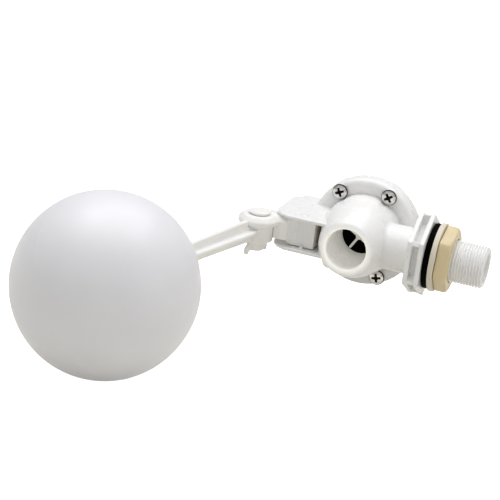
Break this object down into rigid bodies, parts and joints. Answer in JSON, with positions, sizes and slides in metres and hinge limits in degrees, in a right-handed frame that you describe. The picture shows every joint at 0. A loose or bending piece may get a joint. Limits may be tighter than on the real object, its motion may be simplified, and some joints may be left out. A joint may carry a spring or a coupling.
{
  "type": "float valve",
  "caption": "Diaphragm float valve: round body with screwed cover, threaded inlet shank, open outlet, and a hinged lever with a clamped arm and hollow float ball.",
  "frame": {"origin": "centre of the flat pad on the back of the cover, on the outlet axis", "axes": "-Y the way the outlet opens (down in service), +X along the inlet shank to its threaded end, +Z along the lever's pivot pin"},
  "size_m": [0.2285, 0.2483, 0.1038],
  "materials": {
    "body_white": "smooth injection-moulded ABS, slightly cool white, soft gloss",
    "arm_white": "injection-moulded plastic, slightly warm white, soft gloss",
    "ball_white": "blow-moulded polyethylene, satin, faintly translucent",
    "nut_cream": "moulded nylon, cream, soft gloss",
    "washer_pale": "moulded plastic washer, pale cream",
    "rubber_black": "smooth black nitrile rubber",
    "rubber_brown": "dark brown rubber pad",
    "stainless": "polished stainless steel",
    "brass": "plain turned brass"
  },
  "bodies": {
    "valve": {"valve_body": "body_white", "rear_cover": "body_white", "diaphragm": "rubber_black", "closing_spring": "stainless", "pilot_nozzle": "brass", "inlet_gasket": "rubber_black", "clevis_pin": "arm_white", "cover_screw_1": "stainless", "cover_screw_2": "stainless", "cover_screw_3": "stainless", "cover_screw_4": "stainless", "cover_nut_1": "stainless", "cover_nut_2": "stainless", "cover_nut_3": "stainless", "cover_nut_4": "stainless"},
    "main_valve": {"seat_disc": "rubber_black", "backing_plate": "body_white", "vane_guide": "body_white", "guide_nut": "stainless"},
    "lever": {"lever": "arm_white", "pilot_pad": "rubber_brown", "knuckle_bolt": "arm_white"},
    "float_arm": {"float_arm": "arm_white", "float_ball": "ball_white"},
    "wing_nut": {"wing_nut": "arm_white"},
    "inlet_washer": {"inlet_washer": "washer_pale"},
    "mounting_nut": {"mounting_nut": "nut_cream"}
  },
  "joints": [
    {"name": "lever_pivot", "type": "hinge", "parent": "valve", "child": "lever", "pos_m": [-0.032, -0.046, 0], "axis": [0, 0, 1], "range_deg": [-13, 16]},
    {"name": "main_valve_lift", "type": "slide", "parent": "valve", "child": "main_valve", "axis": [0, 1, 0], "range_m": [-0.0018, 0.0022]},
    {"name": "arm_adjust", "type": "hinge", "parent": "lever", "child": "float_arm", "pos_m": [-0.0595, -0.0525, 0], "axis": [0, 0, 1], "range_deg": [-150, 13]},
    {"name": "wing_nut_turn", "type": "hinge", "parent": "lever", "child": "wing_nut", "pos_m": [-0.0595, -0.0525, 0], "axis": [0, 0, 1], "continuous": true},
    {"name": "washer_slide", "type": "slide", "parent": "valve", "child": "inlet_washer", "axis": [1, 0, 0], "range_m": [0, 0.016]},
    {"name": "mounting_nut_turn", "type": "hinge", "parent": "inlet_washer", "child": "mounting_nut", "pos_m": [0.06, -0.0345, 0], "axis": [1, 0, 0], "range_deg": [0, 3177.3]}
  ],
  "couplings": [
    {"joint": "main_valve_lift", "follows": "lever_pivot", "m_per_rad": 0.0078},
    {"joint": "mounting_nut_turn", "follows": "washer_slide", "rad_per_m": 3463.7}
  ]
}
